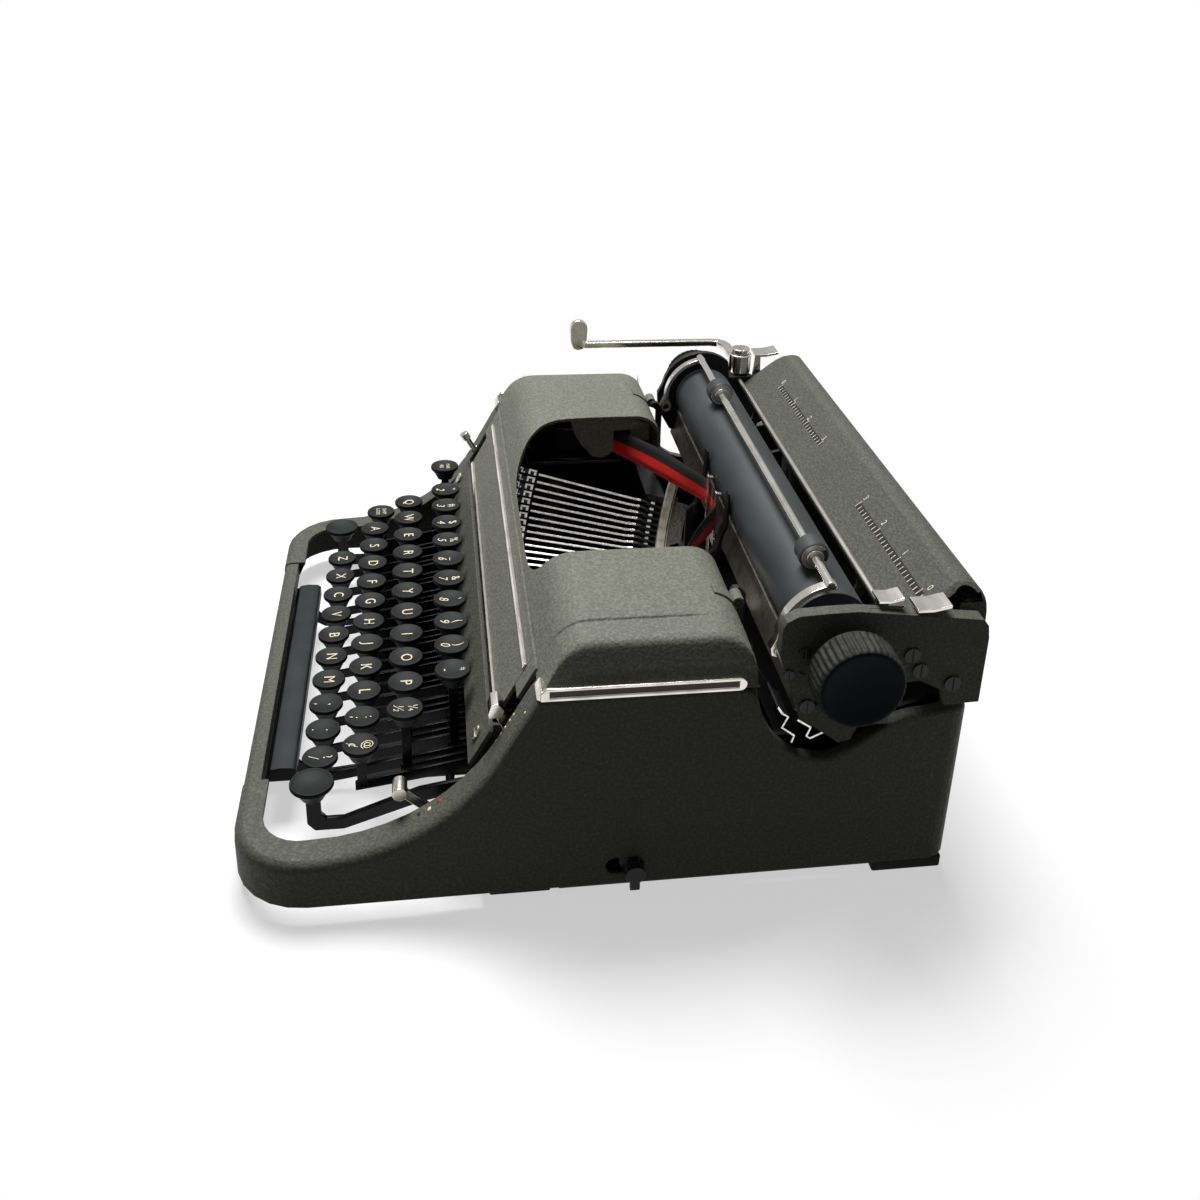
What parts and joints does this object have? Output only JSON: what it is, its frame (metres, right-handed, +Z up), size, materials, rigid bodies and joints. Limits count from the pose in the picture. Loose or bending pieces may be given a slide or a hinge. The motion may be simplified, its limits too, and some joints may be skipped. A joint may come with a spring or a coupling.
{
  "type": "portable manual typewriter",
  "caption": "Portable manual typewriter: wrinkle-painted shell, round keys, open type basket, ribbon, rubber platen on a sliding carriage, paper bail and return lever.",
  "frame": {"origin": "centre of the overall box, on the table under the feet", "axes": "+X to the typist's right, +Y to the rear of the machine, +Z up"},
  "size_m": [0.344, 0.2928, 0.1398],
  "materials": {
    "wrinkle_paint": "wrinkled enamel",
    "black_frame": "satin black",
    "bright_trim": "polished",
    "type_steel": "bright",
    "key_black": "satin dark grey",
    "bar_plastic": "satin dark grey",
    "platen_rubber": "smooth",
    "foot_rubber": "matt",
    "knob_plastic": "satin",
    "ribbon_cloth": "inked cloth, black over red"
  },
  "bodies": {
    "frame": {"body_shell": "wrinkle_paint", "front_bar": "wrinkle_paint", "front_plate": "wrinkle_paint", "rubber_feet": "foot_rubber", "chassis": "black_frame", "key_comb": "black_frame", "fulcrum_rod": "type_steel", "segment": "type_steel", "typebars": "type_steel", "typebar_rest": "black_frame", "card_fingers": "black_frame", "ribbon_cups": "black_frame", "bell": "type_steel", "frame_screws": "type_steel", "ribbon": "ribbon_cloth"},
    "drum": {"mainspring_drum": "type_steel"},
    "cover": {"top_cover": "wrinkle_paint", "cover_strips": "bright_trim", "side_trims": "bright_trim", "spool_tongues": "wrinkle_paint"},
    "number_bank": {"number_keys": "key_black"},
    "upper_bank": {"upper_keys": "key_black"},
    "home_bank": {"home_keys": "key_black"},
    "lower_bank": {"lower_keys": "key_black"},
    "typing_key": {"type_key": "key_black"},
    "typing_bar": {"type_bar": "type_steel"},
    "ribbon_carrier": {"vibrator": "bright_trim"},
    "space_bar": {"spacebar": "bar_plastic"},
    "shift": {"shift_keys": "key_black"},
    "shift_lock": {"shift_lock_key": "key_black"},
    "margin_release": {"margin_key": "key_black"},
    "selector": {"ribbon_selector": "bright_trim"},
    "touch_control": {"touch_lever": "bright_trim"},
    "left_control": {"left_lever": "bright_trim"},
    "carriage_lock": {"lock_stud": "black_frame"},
    "left_spool": {"spool_left": "black_frame"},
    "right_spool": {"spool_right": "black_frame"},
    "lift": {"lift_rail": "type_steel"},
    "carriage": {"carriage_bed": "black_frame", "end_plate_right": "wrinkle_paint", "end_plate_left": "black_frame", "paper_table": "wrinkle_paint", "paper_rod": "bright_trim", "front_scale": "type_steel", "carriage_rack": "type_steel", "carriage_screws": "type_steel"},
    "roller": {"platen": "platen_rubber", "platen_shaft": "type_steel", "knob_right": "knob_plastic", "knob_left": "knob_plastic", "ratchet_wheel": "type_steel"},
    "paper_bail": {"bail": "bright_trim"},
    "bail_wheels": {"bail_rollers": "platen_rubber"},
    "line_lever": {"return_lever": "bright_trim"},
    "paper_lever": {"paper_release": "bright_trim"},
    "release_levers": {"carriage_release": "bright_trim"},
    "left_stop": {"margin_stop_left": "type_steel"},
    "right_stop": {"margin_stop_right": "type_steel"},
    "front_feed": {"feed_roller_front": "platen_rubber"},
    "rear_feed": {"feed_roller_rear": "platen_rubber"}
  },
  "joints": [
    {"name": "cover_hinge", "type": "hinge", "parent": "frame", "child": "cover", "pos_m": [0, 0.0562, 0.1124], "axis": [-1, 0, 0], "range_deg": [0, 70]},
    {"name": "number_press", "type": "hinge", "parent": "frame", "child": "number_bank", "pos_m": [0, 0.075, 0.022], "axis": [1, 0, 0], "range_deg": [0, 4.5], "stiffness_Nm_per_rad": 4, "springref_deg": -8.59},
    {"name": "upper_press", "type": "hinge", "parent": "frame", "child": "upper_bank", "pos_m": [0, 0.075, 0.022], "axis": [1, 0, 0], "range_deg": [0, 4.5], "stiffness_Nm_per_rad": 4, "springref_deg": -8.59},
    {"name": "home_press", "type": "hinge", "parent": "frame", "child": "home_bank", "pos_m": [0, 0.075, 0.022], "axis": [1, 0, 0], "range_deg": [0, 4.5], "stiffness_Nm_per_rad": 4, "springref_deg": -8.59},
    {"name": "lower_press", "type": "hinge", "parent": "frame", "child": "lower_bank", "pos_m": [0, 0.075, 0.022], "axis": [1, 0, 0], "range_deg": [0, 4.5], "stiffness_Nm_per_rad": 4, "springref_deg": -8.59},
    {"name": "typing_key_press", "type": "hinge", "parent": "frame", "child": "typing_key", "pos_m": [0, 0.075, 0.022], "axis": [1, 0, 0], "range_deg": [0, 4.5]},
    {"name": "typebar_swing", "type": "hinge", "parent": "frame", "child": "typing_bar", "pos_m": [0.00173, 0.03859, 0.04119], "axis": [-0.9997, -0.0084, -0.023], "range_deg": [0, 102], "stiffness_Nm_per_rad": 0.03, "springref_deg": -34.38},
    {"name": "ribbon_lift", "type": "slide", "parent": "frame", "child": "ribbon_carrier", "axis": [0, 0, 1], "range_m": [0, 0.008]},
    {"name": "space_press", "type": "hinge", "parent": "frame", "child": "space_bar", "pos_m": [0, -0.06, 0.014], "axis": [1, 0, 0], "range_deg": [0, 5.5], "stiffness_Nm_per_rad": 2, "springref_deg": -8.59},
    {"name": "shift_press", "type": "hinge", "parent": "frame", "child": "shift", "pos_m": [0, 0.075, 0.022], "axis": [1, 0, 0], "range_deg": [0, 3.05]},
    {"name": "shift_lock_press", "type": "hinge", "parent": "frame", "child": "shift_lock", "pos_m": [0, 0.075, 0.022], "axis": [1, 0, 0], "range_deg": [0, 4], "stiffness_Nm_per_rad": 0.6, "springref_deg": -8.59},
    {"name": "margin_press", "type": "hinge", "parent": "frame", "child": "margin_release", "pos_m": [0, 0.075, 0.022], "axis": [1, 0, 0], "range_deg": [0, 4], "stiffness_Nm_per_rad": 0.6, "springref_deg": -8.59},
    {"name": "selector_turn", "type": "hinge", "parent": "frame", "child": "selector", "pos_m": [0, -0.058, 0.022], "axis": [1, 0, 0], "range_deg": [-7, 7]},
    {"name": "touch_turn", "type": "hinge", "parent": "frame", "child": "touch_control", "pos_m": [0, -0.025, 0.046], "axis": [1, 0, 0], "range_deg": [-4, 4]},
    {"name": "left_turn", "type": "hinge", "parent": "frame", "child": "left_control", "pos_m": [0, -0.025, 0.046], "axis": [1, 0, 0], "range_deg": [-4, 4]},
    {"name": "lock_slide", "type": "slide", "parent": "frame", "child": "carriage_lock", "axis": [0, 1, 0], "range_m": [-0.0085, 0.001]},
    {"name": "left_spool_spin", "type": "hinge", "parent": "frame", "child": "left_spool", "pos_m": [-0.098, 0.01, 0.1], "axis": [0, 0, 1], "continuous": true},
    {"name": "right_spool_spin", "type": "hinge", "parent": "frame", "child": "right_spool", "pos_m": [0.098, 0.01, 0.1], "axis": [0, 0, 1], "continuous": true},
    {"name": "shift_lift", "type": "slide", "parent": "frame", "child": "lift", "axis": [0, 0, 1], "range_m": [0, 0.006]},
    {"name": "carriage_travel", "type": "slide", "parent": "lift", "child": "carriage", "axis": [-1, 0, 0], "range_m": [-0.08, 0.105]},
    {"name": "drum_turn", "type": "hinge", "parent": "frame", "child": "drum", "pos_m": [-0.088, 0.117, 0.04], "axis": [0, 1, 0], "range_deg": [-305, 235]},
    {"name": "platen_turn", "type": "hinge", "parent": "carriage", "child": "roller", "pos_m": [0, 0.0882, 0.1113], "axis": [1, 0, 0], "continuous": true},
    {"name": "bail_swing", "type": "hinge", "parent": "carriage", "child": "paper_bail", "pos_m": [0, 0.0665, 0.106], "axis": [1, 0, 0], "range_deg": [0, 45]},
    {"name": "bail_wheel_spin", "type": "hinge", "parent": "paper_bail", "child": "bail_wheels", "pos_m": [0, 0.085, 0.1336], "axis": [1, 0, 0], "continuous": true},
    {"name": "line_lever_swing", "type": "hinge", "parent": "carriage", "child": "line_lever", "pos_m": [-0.13, 0.112, 0.12], "axis": [0, 0, 1], "range_deg": [0, 15], "stiffness_Nm_per_rad": 0.3, "springref_deg": -5.73},
    {"name": "paper_lever_pull", "type": "hinge", "parent": "carriage", "child": "paper_lever", "pos_m": [0, 0.104, 0.12], "axis": [1, 0, 0], "range_deg": [0, 12]},
    {"name": "release_pull", "type": "hinge", "parent": "carriage", "child": "release_levers", "pos_m": [0, 0.121, 0.11], "axis": [-1, 0, 0], "range_deg": [0, 10], "stiffness_Nm_per_rad": 0.2, "springref_deg": -5.73},
    {"name": "left_stop_slide", "type": "slide", "parent": "carriage", "child": "left_stop", "axis": [1, 0, 0], "range_m": [-0.04, 0.055]},
    {"name": "right_stop_slide", "type": "slide", "parent": "carriage", "child": "right_stop", "axis": [1, 0, 0], "range_m": [-0.055, 0.038]},
    {"name": "front_feed_spin", "type": "hinge", "parent": "carriage", "child": "front_feed", "pos_m": [0, 0.0796, 0.0916], "axis": [1, 0, 0], "continuous": true},
    {"name": "rear_feed_spin", "type": "hinge", "parent": "carriage", "child": "rear_feed", "pos_m": [0, 0.0975, 0.092], "axis": [1, 0, 0], "continuous": true}
  ],
  "couplings": [
    {"joint": "typing_key_press", "follows": "typebar_swing", "ratio": 0.044074},
    {"joint": "ribbon_lift", "follows": "typebar_swing", "m_per_rad": 0.0044893},
    {"joint": "shift_press", "follows": "shift_lift", "rad_per_m": 8.7266},
    {"joint": "drum_turn", "follows": "carriage_travel", "rad_per_m": -50},
    {"joint": "right_spool_spin", "follows": "left_spool_spin", "ratio": 1},
    {"joint": "front_feed_spin", "follows": "platen_turn", "ratio": -3.2},
    {"joint": "rear_feed_spin", "follows": "platen_turn", "ratio": -3.2}
  ]
}
